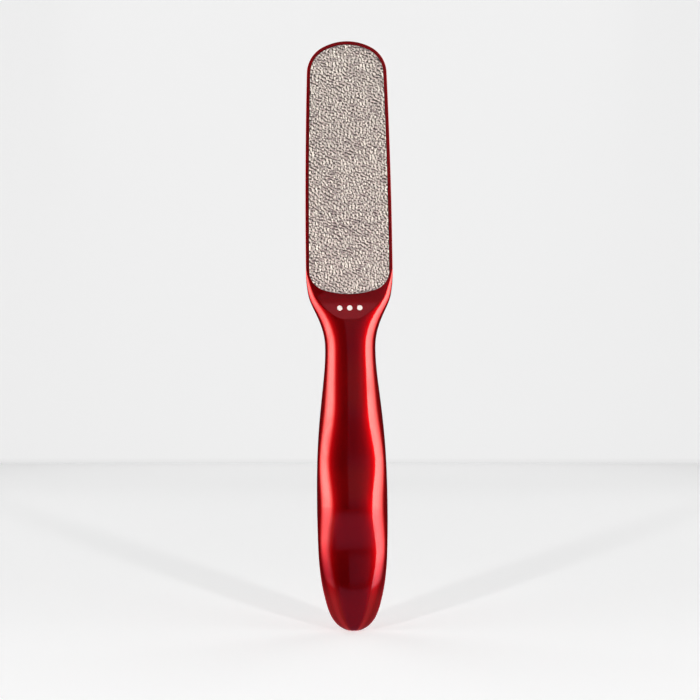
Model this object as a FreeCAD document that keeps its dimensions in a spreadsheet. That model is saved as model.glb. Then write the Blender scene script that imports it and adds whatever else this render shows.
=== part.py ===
import FreeCAD, Part
import math
import os
import Sketcher

Vector = FreeCAD.Vector

# Driving dimensions in millimetres; heights are measured up from the handle's lower tip
DIMENSIONS = {
    # paddle head
    "overall_length": 260.0,
    "head_base_height": 160.0,
    "head_half_width": 19.1,
    "head_half_depth": 3.4,
    "top_arc_radius": 22.6,
    "corner_radius": 13.0,
    "side_arc_radius": 2400.0,
    "rim_radius": 0.2,
    # neck and grip
    "neck_height": 124.0,
    "neck_half_width": 11.1,
    "neck_half_depth": 5.4,
    "neck_flat": 2.4,
    "belly_height": 55.5,
    "belly_half_width": 15.6,
    "belly_half_depth": 8.1,
    "dip_half_depth": 5.9,
    "upper_swell_half_depth": 7.5,
    "heel_swell_half_depth": 6.85,
    "grip_flat": 1.0,
    "grip_land": 0.6,
    # hollow inside the two shells
    "wall": 2.0,
    "head_pocket_drop": 3.0,
    "head_pocket_top_margin": 9.0,
    "head_pocket_side_margin": 5.1,
    "head_rib": 6.0,
    "head_pocket_depth": 1.2,
    "head_pocket_corner": 3.0,
    # locating pins and their sockets
    "post_radius": 3.0,
    "pin_radius": 1.2,
    "pin_length": 1.8,
    "pin_clearance": 0.05,
    "socket_end_gap": 0.2,
    # abrasive plates, bonding films and their recesses
    "recess_depth": 0.6,
    "plate_rim": 1.55,
    "plate_gap": 0.15,
    "plate_thickness": 0.7,
    "plate_edge_radius": 0.2,
    "plate_bottom_height": 148.7,
    "plate_bottom_radius": 36.0,
    "plate_corner_radius": 8.7,
    "film_thickness": 0.2,
    "film_inset": 0.6,
    # how far cutting boxes reach past the object
    "overrun": 5.0,
}

# Handles of a cubic curve that follows a quarter of an ellipse
quarter_curve_share = 0.5523
HAUNCH_DEGREE = 3
HAUNCH_ENDS = HAUNCH_DEGREE + 1
POLE_WEIGHT = 1.0

# Shoulder sections from the neck (0) to the head (1): height, width, depth, flat, land
shoulder_shares = (
    (0.0, 0.0, 0.0, 0.0, 0.0),
    (0.125, 0.025, 0.015, 0.009, 0.008),
    (0.25, 0.138, 0.06, 0.036, 0.031),
    (0.375, 0.331, 0.225, 0.145, 0.085),
    (0.5, 0.588, 0.6, 0.418, 0.192),
    (0.625, 0.825, 0.92, 0.697, 0.346),
    (0.75, 0.938, 0.995, 0.855, 0.558),
    (0.875, 0.991, 1.0, 0.945, 0.808),
)

# Upper grip sections from the belly (0) to the neck (1): height, width, flat, and a depth between two
upper_grip_shares = (
    (0.0, 0.0, 0.0, "dip_half_depth", "belly_half_depth", 1.0),
    (0.153, 0.022, 0.0, "dip_half_depth", "belly_half_depth", 0.455),
    (0.299, 0.089, 0.0, "dip_half_depth", "belly_half_depth", 0.0),
    (0.438, 0.211, 0.0, "dip_half_depth", "upper_swell_half_depth", 0.47),
    (0.577, 0.4, 0.0, "dip_half_depth", "upper_swell_half_depth", 1.0),
    (0.715, 0.633, 0.143, "neck_half_depth", "upper_swell_half_depth", 0.714),
    (0.854, 0.871, 0.357, "neck_half_depth", "upper_swell_half_depth", 0.214),
)

# Lower grip sections as shares of the belly's height and width, with the depth between two named depths
lower_grip_shares = (
    (0.333, 0.862, "dip_half_depth", "heel_swell_half_depth", 1.0),
    (0.486, 0.944, "dip_half_depth", "heel_swell_half_depth", 0.526),
    (0.649, 0.982, "dip_half_depth", "belly_half_depth", 0.0),
    (0.829, 0.997, "dip_half_depth", "belly_half_depth", 0.5),
)

# Rounded butt as shares of the belly's height and width, the heel's depth, and the flat and land
butt_shares = (
    (0.009, 0.2, 0.277, 0.2),
    (0.036, 0.388, 0.525, 0.45),
    (0.099, 0.592, 0.774, 0.7),
    (0.176, 0.718, 0.915, 0.9),
    (0.261, 0.804, 0.985, 1.0),
)

# Rows of the grip tables that carry a locating post, at the dips and below the neck
LOWER_POST_INDEX = 2
UPPER_POST_INDEXES = (2, 6)

# Head pockets, and which of the ribs between them carry a locating pin
HEAD_POCKET_COUNT = 4
PINNED_RIB_INDEXES = (1, 3)

# Index numbers of a sketch's origin, its axes and the points of a curve
ORIGIN_INDEX = (-1, 1)
HORIZONTAL_INDEX = -1
VERTICAL_INDEX = -2
START_INDEX, END_INDEX, CENTRE_INDEX = 1, 2, 3
QUARTER_TURN = math.pi / 2

# Edges are taken as lying in one plane within this distance
FLATNESS = 1e-4

doc = FreeCAD.newDocument("foot_file")
sheet = doc.addObject("Spreadsheet::Sheet", "dims")


def fill_sheet():
    """Write each driving dimension in its own named cell."""
    for row, (alias, size) in enumerate(DIMENSIONS.items(), start=1):
        sheet.set(f"A{row}", alias)
        sheet.set(f"B{row}", str(size))
        sheet.setAlias(f"B{row}", alias)
    doc.recompute()


def cell(alias):
    """Expression that reads one driving dimension."""
    return f"<<dims>>.{alias}"


def blend(low, high, share):
    """Expression part of the way from one expression to another."""
    return f"({low}) + (({high}) - ({low})) * {share}"


def value(expression):
    """Present number of an expression on the driving dimensions."""
    return float(sheet.evalExpression(expression))


HEAD_LAND = f"{cell('head_half_depth')} - {cell('rim_radius')}"
HEAD_FLAT = f"{cell('head_half_width')} - {cell('rim_radius')}"
RECESS_FLOOR = f"{cell('head_half_depth')} - {cell('recess_depth')}"
POCKET_BASE = f"({cell('head_base_height')} - {cell('head_pocket_drop')})"
POCKET_HALF_WIDTH = f"({cell('head_half_width')} - {cell('head_pocket_side_margin')})"
POCKET_TOP = f"({cell('overall_length')} - {cell('head_pocket_top_margin')})"
POCKET_PITCH = f"(({POCKET_TOP} + {cell('head_rib')} - {POCKET_BASE}) / {HEAD_POCKET_COUNT})"
POCKET_HEIGHT = f"({POCKET_PITCH} - {cell('head_rib')})"
PLATE_SEAT = f"{RECESS_FLOOR} + {cell('film_thickness')}"


def shoulder_stations():
    """Sections that widen from the neck to the head, as expressions."""
    for height, width, depth, flat, land in shoulder_shares:
        yield {
            "height": blend(cell("neck_height"), cell("head_base_height"), height),
            "half_width": blend(cell("neck_half_width"), cell("head_half_width"), width),
            "half_depth": blend(cell("neck_half_depth"), cell("head_half_depth"), depth),
            "flat": blend(cell("neck_flat"), HEAD_FLAT, flat),
            "land": blend(cell("grip_land"), HEAD_LAND, land),
        }


def upper_grip_stations():
    """Sections from the belly up to just below the neck, as expressions."""
    for height, width, flat, low, high, depth in upper_grip_shares:
        yield {
            "height": blend(cell("belly_height"), cell("neck_height"), height),
            "half_width": blend(cell("belly_half_width"), cell("neck_half_width"), width),
            "half_depth": blend(cell(low), cell(high), depth),
            "flat": blend(cell("grip_flat"), cell("neck_flat"), flat),
            "land": cell("grip_land"),
        }


def lower_grip_stations():
    """Sections from the heel swell up to just below the belly, as expressions."""
    for height, width, low, high, depth in lower_grip_shares:
        yield {
            "height": f"{cell('belly_height')} * {height}",
            "half_width": f"{cell('belly_half_width')} * {width}",
            "half_depth": blend(cell(low), cell(high), depth),
            "flat": cell("grip_flat"),
            "land": cell("grip_land"),
        }


def butt_stations():
    """Small sections of the rounded butt, as expressions."""
    for height, width, depth, edge in butt_shares:
        yield {
            "height": f"{cell('belly_height')} * {height}",
            "half_width": f"{cell('belly_half_width')} * {width}",
            "half_depth": f"{cell('heel_swell_half_depth')} * {depth}",
            "flat": f"{cell('grip_flat')} * {edge}",
            "land": f"{cell('grip_land')} * {edge}",
        }


def grip_stations():
    """Sections of the whole grip, from the heel swell to the neck."""
    neck = next(shoulder_stations())
    return [*lower_grip_stations(), *upper_grip_stations(), neck]


def inset_by_wall(station):
    """The same section, one wall thickness smaller."""
    inner = dict(station)
    inner["half_width"] = f"{station['half_width']} - {cell('wall')}"
    inner["half_depth"] = f"{station['half_depth']} - {cell('wall')}"
    return inner


def origin_plane(body, role):
    """One of a body's own origin planes."""
    return next(plane for plane in body.Origin.OriginFeatures if plane.Role == role)


def plane_sketch(body, name, role, offset=None):
    """Empty sketch on an origin plane, moved along its normal by an expression."""
    sketch = body.newObject("Sketcher::SketchObject", name)
    sketch.AttachmentSupport = (origin_plane(body, role), [""])
    sketch.MapMode = "FlatFace"
    if offset is not None:
        sketch.setExpression("AttachmentOffset.Base.z", offset)
    return sketch


def fix(sketch, kind, *places):
    """Add a constraint that has no size."""
    sketch.addConstraint(Sketcher.Constraint(kind, *places))


def drive(sketch, name, kind, places, expression):
    """Add a named constraint whose size is an expression."""
    index = sketch.addConstraint(Sketcher.Constraint(kind, *places, value(expression)))
    sketch.renameConstraint(index, name)
    sketch.setExpression(f"Constraints.{name}", expression)


def mirror_centres(sketch, first, second, axis):
    """Keep two centre points symmetric about an axis."""
    fix(sketch, "Symmetric", first, CENTRE_INDEX, second, CENTRE_INDEX, axis)


def join_smoothly(sketch, chain):
    """Join each curve of a chain to the next without a corner."""
    for first, second in zip(chain, chain[1:]):
        fix(sketch, "Tangent", first, END_INDEX, second, START_INDEX)


def line(sketch, start, end):
    """Straight edge between two points."""
    return sketch.addGeometry(Part.LineSegment(start, end), False)


def haunch(sketch, poles):
    """Quarter curve from the side wall to the crown, with its control points."""
    curve = Part.BSplineCurve()
    ends = [HAUNCH_ENDS, HAUNCH_ENDS]
    curve.buildFromPolesMultsKnots(poles, ends, [0.0, 1.0], False, HAUNCH_DEGREE)
    spline = sketch.addGeometry(curve, False)
    marks = []
    for index, pole in enumerate(poles):
        circle = Part.Circle(pole, Vector(0, 0, 1), POLE_WEIGHT)
        mark = sketch.addGeometry(circle, True)
        kind = "InternalAlignment:Sketcher::BSplineControlPoint"
        fix(sketch, kind, mark, CENTRE_INDEX, spline, index)
        fix(sketch, "Weight", mark, POLE_WEIGHT)
        marks.append(mark)
    return spline, marks


def crown_section(body, name, station):
    """Cross-section with flat crowns, curved haunches and short side walls, alike front and back."""
    sketch = plane_sketch(body, name, "XY_Plane", station["height"])
    rise = blend(station["land"], station["half_depth"], quarter_curve_share)
    reach = blend(station["flat"], station["half_width"], quarter_curve_share)
    half_width, half_depth = value(station["half_width"]), value(station["half_depth"])
    flat, land = value(station["flat"]), value(station["land"])
    quarter = ((half_width, land), (half_width, value(rise)), (value(reach), half_depth), (flat, half_depth))
    splines, marks = {}, {}
    for side in (1, -1):
        for face in (1, -1):
            poles = [Vector(side * x, face * y, 0) for x, y in quarter]
            splines[side, face], marks[side, face] = haunch(sketch, poles)
    wall_mark, rise_mark, reach_mark, crown_mark = marks[1, 1]
    drive(sketch, "half_width", "DistanceX", (*ORIGIN_INDEX, wall_mark, CENTRE_INDEX), station["half_width"])
    drive(sketch, "land", "DistanceY", (*ORIGIN_INDEX, wall_mark, CENTRE_INDEX), station["land"])
    drive(sketch, "rise", "DistanceY", (*ORIGIN_INDEX, rise_mark, CENTRE_INDEX), rise)
    drive(sketch, "reach", "DistanceX", (*ORIGIN_INDEX, reach_mark, CENTRE_INDEX), reach)
    drive(sketch, "flat", "DistanceX", (*ORIGIN_INDEX, crown_mark, CENTRE_INDEX), station["flat"])
    drive(sketch, "half_depth", "DistanceY", (*ORIGIN_INDEX, crown_mark, CENTRE_INDEX), station["half_depth"])
    fix(sketch, "Vertical", wall_mark, CENTRE_INDEX, rise_mark, CENTRE_INDEX)
    fix(sketch, "Horizontal", reach_mark, CENTRE_INDEX, crown_mark, CENTRE_INDEX)
    for index in range(HAUNCH_ENDS):
        mirror_centres(sketch, marks[1, 1][index], marks[-1, 1][index], VERTICAL_INDEX)
        mirror_centres(sketch, marks[1, 1][index], marks[1, -1][index], HORIZONTAL_INDEX)
        mirror_centres(sketch, marks[1, -1][index], marks[-1, -1][index], VERTICAL_INDEX)
    for side in (1, -1):
        wall = line(sketch, Vector(side * half_width, -land, 0), Vector(side * half_width, land, 0))
        fix(sketch, "Coincident", wall, START_INDEX, splines[side, -1], START_INDEX)
        fix(sketch, "Coincident", wall, END_INDEX, splines[side, 1], START_INDEX)
    for face in (1, -1):
        crown = line(sketch, Vector(flat, face * half_depth, 0), Vector(-flat, face * half_depth, 0))
        fix(sketch, "Coincident", crown, START_INDEX, splines[1, face], END_INDEX)
        fix(sketch, "Coincident", crown, END_INDEX, splines[-1, face], END_INDEX)
    return sketch


def rounded_rectangle(sketch, half_width, low, high, radius):
    """Right, top, left and bottom sides with rounded corners between them, symmetric about the centreline."""
    flat = half_width - radius
    sides = (
        line(sketch, Vector(half_width, low + radius, 0), Vector(half_width, high - radius, 0)),
        line(sketch, Vector(flat, high, 0), Vector(-flat, high, 0)),
        line(sketch, Vector(-half_width, high - radius, 0), Vector(-half_width, low + radius, 0)),
        line(sketch, Vector(-flat, low, 0), Vector(flat, low, 0)),
    )
    centres = ((flat, high - radius), (-flat, high - radius), (-flat, low + radius), (flat, low + radius))
    corners = []
    for turn, (x, y) in enumerate(centres):
        start = turn * QUARTER_TURN
        corner = arc(sketch, Vector(x, y, 0), radius, start, start + QUARTER_TURN)
        join_smoothly(sketch, (sides[turn], corner, sides[(turn + 1) % len(sides)]))
        corners.append(corner)
    for corner in corners[1:]:
        fix(sketch, "Equal", corners[0], corner)
    for side, kind in zip(sides, ("Vertical", "Horizontal", "Vertical", "Horizontal")):
        fix(sketch, kind, side)
    return sides, corners


def head_section(body):
    """Cross-section at the base of the head: a bar with rounded rims."""
    sketch = plane_sketch(body, "head_base_section", "XY_Plane", cell("head_base_height"))
    half_width, half_depth = value(cell("head_half_width")), value(cell("head_half_depth"))
    sides, rims = rounded_rectangle(sketch, half_width, -half_depth, half_depth, value(cell("rim_radius")))
    right, top = sides[:2]
    fix(sketch, "Symmetric", rims[0], CENTRE_INDEX, rims[2], CENTRE_INDEX, *ORIGIN_INDEX)
    drive(sketch, "rim_radius", "Radius", (rims[0],), cell("rim_radius"))
    drive(sketch, "half_width", "DistanceX", (*ORIGIN_INDEX, right, START_INDEX), cell("head_half_width"))
    drive(sketch, "half_depth", "DistanceY", (*ORIGIN_INDEX, top, START_INDEX), cell("head_half_depth"))
    return sketch


def pocket_outline(body):
    """Lowest lightening pocket of the head, on the parting plane."""
    sketch = plane_sketch(body, "head_pocket_outline", "XZ_Plane")
    low = value(POCKET_BASE)
    high = low + value(POCKET_HEIGHT)
    half_width, radius = value(POCKET_HALF_WIDTH), value(cell("head_pocket_corner"))
    sides, corners = rounded_rectangle(sketch, half_width, low, high, radius)
    right, top, left, bottom = sides
    drive(sketch, "corner", "Radius", (corners[0],), cell("head_pocket_corner"))
    drive(sketch, "right_half", "DistanceX", (*ORIGIN_INDEX, right, START_INDEX), POCKET_HALF_WIDTH)
    drive(sketch, "left_half", "DistanceX", (left, START_INDEX, *ORIGIN_INDEX), POCKET_HALF_WIDTH)
    drive(sketch, "base", "DistanceY", (*ORIGIN_INDEX, bottom, START_INDEX), POCKET_BASE)
    drive(sketch, "height", "DistanceY", (bottom, START_INDEX, top, END_INDEX), POCKET_HEIGHT)
    return sketch


def tangent_centre(first, first_radius, second, second_radius, upper):
    """Point at given distances from two centres, the upper or the lower one."""
    span = second - first
    along = (first_radius**2 - second_radius**2 + span.Length**2) / (2 * span.Length)
    across = math.sqrt(first_radius**2 - along**2)
    direction = span / span.Length
    foot = first + direction * along
    normal = Vector(-direction.y, direction.x, 0)
    choices = sorted((foot + normal * across, foot - normal * across), key=lambda point: point.y)
    return choices[-1] if upper else choices[0]


def angle_to(start, end):
    """Direction from one point to another, in radians."""
    return math.atan2(end.y - start.y, end.x - start.x)


def arc(sketch, centre, radius, start, end):
    """Round edge, turning from one direction to another."""
    circle = Part.Circle(centre, Vector(0, 0, 1), radius)
    return sketch.addGeometry(Part.ArcOfCircle(circle, start, end), False)


def flipped(point):
    """The same point on the other side of the centreline."""
    return Vector(-point.x, point.y, 0)


def side_centre():
    """Centre of the right side's long arc, level with the base of the head."""
    across = value(cell("head_half_width")) - value(cell("side_arc_radius"))
    return Vector(across, value(cell("head_base_height")), 0)


def paddle_crown(sketch, inset, side_foot):
    """Sides, corners and top of the paddle, inset by an expression, from a given direction."""
    top_radius, corner_radius = value(cell("top_arc_radius")), value(cell("corner_radius"))
    side_radius, moved = value(cell("side_arc_radius")), value(inset)
    top_centre = Vector(0, value(cell("overall_length")) - top_radius, 0)
    side = side_centre()
    corner = tangent_centre(top_centre, top_radius - corner_radius, side, side_radius - corner_radius, True)
    side_end, corner_end = angle_to(side, corner), angle_to(top_centre, corner)
    right = arc(sketch, side, side_radius - moved, side_foot, side_end)
    right_corner = arc(sketch, corner, corner_radius - moved, side_end, corner_end)
    top = arc(sketch, top_centre, top_radius - moved, corner_end, math.pi - corner_end)
    corner_turn = (math.pi - corner_end, math.pi - side_end)
    left_corner = arc(sketch, flipped(corner), corner_radius - moved, *corner_turn)
    left = arc(sketch, flipped(side), side_radius - moved, math.pi - side_end, math.pi - side_foot)
    join_smoothly(sketch, (right, right_corner, top, left_corner, left))
    fix(sketch, "PointOnObject", top, CENTRE_INDEX, VERTICAL_INDEX)
    mirror_centres(sketch, right, left, VERTICAL_INDEX)
    fix(sketch, "Equal", right, left)
    fix(sketch, "Equal", right_corner, left_corner)
    top_height = f"{cell('overall_length')} - {cell('top_arc_radius')}"
    drive(sketch, "top_height", "DistanceY", (*ORIGIN_INDEX, top, CENTRE_INDEX), top_height)
    drive(sketch, "top_radius", "Radius", (top,), f"{cell('top_arc_radius')} - ({inset})")
    side_reach = f"{cell('side_arc_radius')} - {cell('head_half_width')}"
    drive(sketch, "side_reach", "DistanceX", (right, CENTRE_INDEX, *ORIGIN_INDEX), side_reach)
    drive(sketch, "side_height", "DistanceY", (*ORIGIN_INDEX, right, CENTRE_INDEX), cell("head_base_height"))
    drive(sketch, "side_radius", "Radius", (right,), f"{cell('side_arc_radius')} - ({inset})")
    drive(sketch, "corner_radius", "Radius", (right_corner,), f"{cell('corner_radius')} - ({inset})")
    return right, left


def head_outline(body):
    """Front view of the head, cut off straight where the shoulder begins."""
    sketch = plane_sketch(body, "head_outline", "XZ_Plane")
    right, left = paddle_crown(sketch, "0", 0)
    half_width, base = value(cell("head_half_width")), value(cell("head_base_height"))
    foot = line(sketch, Vector(-half_width, base, 0), Vector(half_width, base, 0))
    fix(sketch, "Coincident", left, END_INDEX, foot, START_INDEX)
    fix(sketch, "Coincident", foot, END_INDEX, right, START_INDEX)
    fix(sketch, "Horizontal", foot)
    drive(sketch, "foot_height", "DistanceY", (*ORIGIN_INDEX, foot, END_INDEX), cell("head_base_height"))
    return sketch


def plate_outline(body, name, offset, grow):
    """Outline of an abrasive plate, made larger all round by an expression."""
    sketch = plane_sketch(body, name, "XZ_Plane", offset)
    side_radius, side = value(f"{cell('side_arc_radius')} - {cell('plate_rim')}"), side_centre()
    foot_radius, bend = value(cell("plate_bottom_radius")), value(cell("plate_corner_radius"))
    foot_centre = Vector(0, value(cell("plate_bottom_height")) + foot_radius, 0)
    corner = tangent_centre(foot_centre, foot_radius - bend, side, side_radius - bend, False)
    side_foot, foot_end = angle_to(side, corner), angle_to(foot_centre, corner)
    right, left = paddle_crown(sketch, f"{cell('plate_rim')} - ({grow})", side_foot)
    moved = value(grow)
    left_corner = arc(sketch, flipped(corner), bend + moved, math.pi - side_foot, math.pi - foot_end)
    foot = arc(sketch, foot_centre, foot_radius + moved, math.pi - foot_end, 2 * math.pi + foot_end)
    right_corner = arc(sketch, corner, bend + moved, foot_end, side_foot)
    join_smoothly(sketch, (left, left_corner, foot, right_corner, right))
    fix(sketch, "PointOnObject", foot, CENTRE_INDEX, VERTICAL_INDEX)
    fix(sketch, "Equal", left_corner, right_corner)
    foot_height = f"{cell('plate_bottom_height')} + {cell('plate_bottom_radius')}"
    drive(sketch, "foot_height", "DistanceY", (*ORIGIN_INDEX, foot, CENTRE_INDEX), foot_height)
    drive(sketch, "foot_radius", "Radius", (foot,), f"{cell('plate_bottom_radius')} + ({grow})")
    drive(sketch, "foot_corner", "Radius", (right_corner,), f"{cell('plate_corner_radius')} + ({grow})")
    return sketch


def spots(body, name, radius, heights):
    """Round outlines on the centreline of the parting plane, all of one radius."""
    sketch = plane_sketch(body, name, "XZ_Plane")
    circles = []
    for index, height in enumerate(heights):
        circle = Part.Circle(Vector(0, value(height), 0), Vector(0, 0, 1), value(radius))
        circles.append(sketch.addGeometry(circle, False))
        fix(sketch, "PointOnObject", circles[-1], CENTRE_INDEX, VERTICAL_INDEX)
        drive(sketch, f"height_{index}", "DistanceY", (*ORIGIN_INDEX, circles[-1], CENTRE_INDEX), height)
    drive(sketch, "radius", "Radius", (circles[0],), radius)
    for circle in circles[1:]:
        fix(sketch, "Equal", circles[0], circle)
    return sketch


def add(body, kind, name, sketch, length, turned=False):
    """Pad or Pocket of a sketch, with an expression for its length."""
    feature = body.newObject(f"PartDesign::{kind}", name)
    feature.Profile = sketch
    feature.setExpression("Length", length)
    feature.Reversed = turned
    return feature


def loft(body, name, outlines):
    """Smooth solid through a row of cross-sections; the last may be a point."""
    feature = body.newObject("PartDesign::AdditiveLoft", name)
    feature.Profile = outlines[0]
    feature.Sections = [(outline, [""]) for outline in outlines[1:]]
    return feature


def tip_point(body):
    """The single point where the butt ends."""
    sketch = plane_sketch(body, "tip", "XY_Plane")
    point = sketch.addGeometry(Part.Point(Vector(0, 0, 0)), False)
    fix(sketch, "Coincident", point, START_INDEX, *ORIGIN_INDEX)
    return sketch


def sections(body, name, stations):
    """One cross-section sketch for each station."""
    return [crown_section(body, f"{name}_{index}", station) for index, station in enumerate(stations)]


def rim_edges(feature):
    """Names of the head's curved edges on its front and back faces."""
    names = []
    for index, edge in enumerate(feature.Shape.Edges, start=1):
        if edge.BoundBox.YLength < FLATNESS and isinstance(edge.Curve, Part.Circle):
            names.append(f"Edge{index}")
    return names


def outer_form():
    """Whole outside of the file: paddle head, shoulder, waved grip and rounded butt."""
    body = doc.addObject("PartDesign::Body", "outer_form")
    head = add(body, "Pad", "head_blank", head_outline(body), f"2 * {cell('head_half_depth')}")
    head.SideType = "Symmetric"
    doc.recompute()
    rim = body.newObject("PartDesign::Fillet", "head_rim")
    rim.Base = (head, rim_edges(head))
    rim.setExpression("Radius", cell("rim_radius"))
    shoulder = sections(body, "shoulder", shoulder_stations())
    grip = sections(body, "grip", grip_stations()[:-1])
    butt = sections(body, "butt", butt_stations())
    head_end, tip = head_section(body), tip_point(body)
    doc.recompute()
    loft(body, "shoulder_loft", [head_end, *reversed(shoulder)])
    loft(body, "grip_loft", [shoulder[0], *reversed(grip)])
    loft(body, "butt_loft", [grip[0], *reversed(butt), tip])
    doc.recompute()
    return body


def grip_core():
    """Hollow of the grip, one wall inside the outer form."""
    body = doc.addObject("PartDesign::Body", "grip_core")
    rows = sections(body, "core", [inset_by_wall(station) for station in grip_stations()])
    doc.recompute()
    loft(body, "core_loft", rows)
    doc.recompute()
    return body


def half_space(name, front):
    """Block that holds the front or the back half of the object."""
    block = doc.addObject("Part::Box", name)
    reach = f"{cell('head_half_width')} + {cell('overrun')}"
    depth = f"{cell('belly_half_depth')} + {cell('overrun')}"
    block.setExpression("Length", f"2 * ({reach})")
    block.setExpression("Width", depth)
    block.setExpression("Height", f"{cell('overall_length')} + 2 * {cell('overrun')}")
    block.setExpression("Placement.Base.x", f"-({reach})")
    block.setExpression("Placement.Base.z", f"-{cell('overrun')}")
    if front:
        block.setExpression("Placement.Base.y", f"-({depth})")
    return block


def boolean(kind, name, base, tool):
    """Part boolean of two objects."""
    result = doc.addObject(f"Part::{kind}", name)
    result.Base = base
    result.Tool = tool
    return result


def rib_height(rib):
    """Middle height of the rib above a given number of head pockets."""
    return f"{POCKET_BASE} + {POCKET_PITCH} * {rib} - {cell('head_rib')} / 2"


def post_heights():
    """Heights of the locating posts in the grip."""
    lower = list(lower_grip_stations())[LOWER_POST_INDEX]
    upper = list(upper_grip_stations())
    return [lower["height"], *(upper[row]["height"] for row in UPPER_POST_INDEXES)]


def shell(name, front, form, core):
    """One hollow half of the handle and head, with its recess, posts and head pockets."""
    half = boolean("Common", f"{name}_half", form, half_space(f"{name}_block", front))
    hollow = boolean("Cut", f"{name}_hollow", half, core)
    doc.recompute()
    body = doc.addObject("PartDesign::Body", name)
    body.BaseFeature = hollow
    doc.recompute()
    post_length = f"{cell('dip_half_depth')} - {cell('wall')} / 2"
    posts = spots(body, f"{name}_post_spots", cell("post_radius"), post_heights())
    add(body, "Pad", f"{name}_posts", posts, post_length, turned=not front)
    pocket_sketch = pocket_outline(body)
    pocket = add(body, "Pocket", f"{name}_pocket", pocket_sketch, cell("head_pocket_depth"), turned=front)
    doc.recompute()
    row = body.newObject("PartDesign::LinearPattern", f"{name}_pocket_row")
    row.Originals = [pocket]
    row.Direction = (pocket_sketch, ["V_Axis"])
    row.setExpression("Length", f"{POCKET_PITCH} * {HEAD_POCKET_COUNT - 1}")
    row.Occurrences = HEAD_POCKET_COUNT
    body.Tip = row
    doc.recompute()
    mouth = f"{cell('head_half_depth')} + {cell('overrun')}"
    mouth_offset = mouth if front else f"-({mouth})"
    recess = plate_outline(body, f"{name}_recess_outline", mouth_offset, cell("plate_gap"))
    recess_cut = f"{cell('recess_depth')} + {cell('overrun')}"
    add(body, "Pocket", f"{name}_recess", recess, recess_cut, turned=not front)
    heights = [*post_heights(), *(rib_height(rib) for rib in PINNED_RIB_INDEXES)]
    if front:
        radius = f"{cell('pin_radius')} + {cell('pin_clearance')}"
        depth = f"{cell('pin_length')} + {cell('socket_end_gap')}"
        sockets = spots(body, f"{name}_socket_spots", radius, heights)
        add(body, "Pocket", f"{name}_sockets", sockets, depth, turned=True)
    else:
        pins = spots(body, f"{name}_pin_spots", cell("pin_radius"), heights)
        add(body, "Pad", f"{name}_pins", pins, cell("pin_length"))
    doc.recompute()
    return body


def sheet_piece(name, front, seat, thickness, grow):
    """Flat piece of the plate's outline, seated a given distance from the parting plane."""
    body = doc.addObject("PartDesign::Body", name)
    offset = seat if front else f"-({seat})"
    outline = plate_outline(body, f"{name}_outline", offset, grow)
    add(body, "Pad", f"{name}_blank", outline, thickness, turned=not front)
    doc.recompute()
    return body


def abrasive_plate(name, front):
    """Abrasive plate with its outer edge rounded over."""
    body = sheet_piece(name, front, PLATE_SEAT, cell("plate_thickness"), "0")
    blank = body.Tip
    outer = min if front else max
    face_y = outer(vertex.Point.y for vertex in blank.Shape.Vertexes)
    names = []
    for index, edge in enumerate(blank.Shape.Edges, start=1):
        if all(abs(vertex.Point.y - face_y) < FLATNESS for vertex in edge.Vertexes):
            names.append(f"Edge{index}")
    rounded = body.newObject("PartDesign::Fillet", f"{name}_edge")
    rounded.Base = (blank, names)
    rounded.setExpression("Radius", cell("plate_edge_radius"))
    doc.recompute()
    return body


def bonding_film(name, front):
    """Die-cut film between a plate and its recess."""
    return sheet_piece(name, front, RECESS_FLOOR, cell("film_thickness"), f"-{cell('film_inset')}")


def check_features():
    """Stop if any feature failed, or if a cut removed nothing."""
    for item in doc.Objects:
        if "Invalid" in item.State or "Error" in item.State:
            raise RuntimeError(f"{item.Label} failed: {item.State}")
        if item.TypeId in ("PartDesign::Pocket", "PartDesign::LinearPattern"):
            if item.Shape.Volume >= item.BaseFeature.Shape.Volume:
                raise RuntimeError(f"{item.Label} cuts nothing")
        if item.TypeId == "PartDesign::Pad" and item.BaseFeature:
            if item.Shape.Volume <= item.BaseFeature.Shape.Volume:
                raise RuntimeError(f"{item.Label} adds nothing")


def check_piece(piece):
    """Stop unless a piece is one valid solid."""
    shape = piece.Shape
    if shape.isNull() or not shape.isValid() or len(shape.Solids) != 1:
        raise RuntimeError(f"{piece.Label} is not one valid solid")


def main():
    fill_sheet()
    form, core = outer_form(), grip_core()
    pieces = [
        shell("front_shell", True, form, core),
        shell("back_shell", False, form, core),
        abrasive_plate("coarse_plate", True),
        abrasive_plate("fine_plate", False),
        bonding_film("coarse_plate_adhesive", True),
        bonding_film("fine_plate_adhesive", False),
    ]
    # The origin is the middle of the grip's belly
    for piece in pieces:
        piece.setExpression("Placement.Base.z", f"-{cell('belly_height')}")
    doc.recompute()
    check_features()
    for piece in pieces:
        check_piece(piece)
    os.makedirs("parts", exist_ok=True)
    for piece in pieces:
        piece.Shape.exportStep(f"parts/{piece.Label}.step")
        box = piece.Shape.BoundBox
        spans = [round(span, 2) for span in (box.XLength, box.YLength, box.ZLength)]
        print(piece.Label, spans, "volume", round(piece.Shape.Volume, 1))


main()
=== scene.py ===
import math

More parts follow.
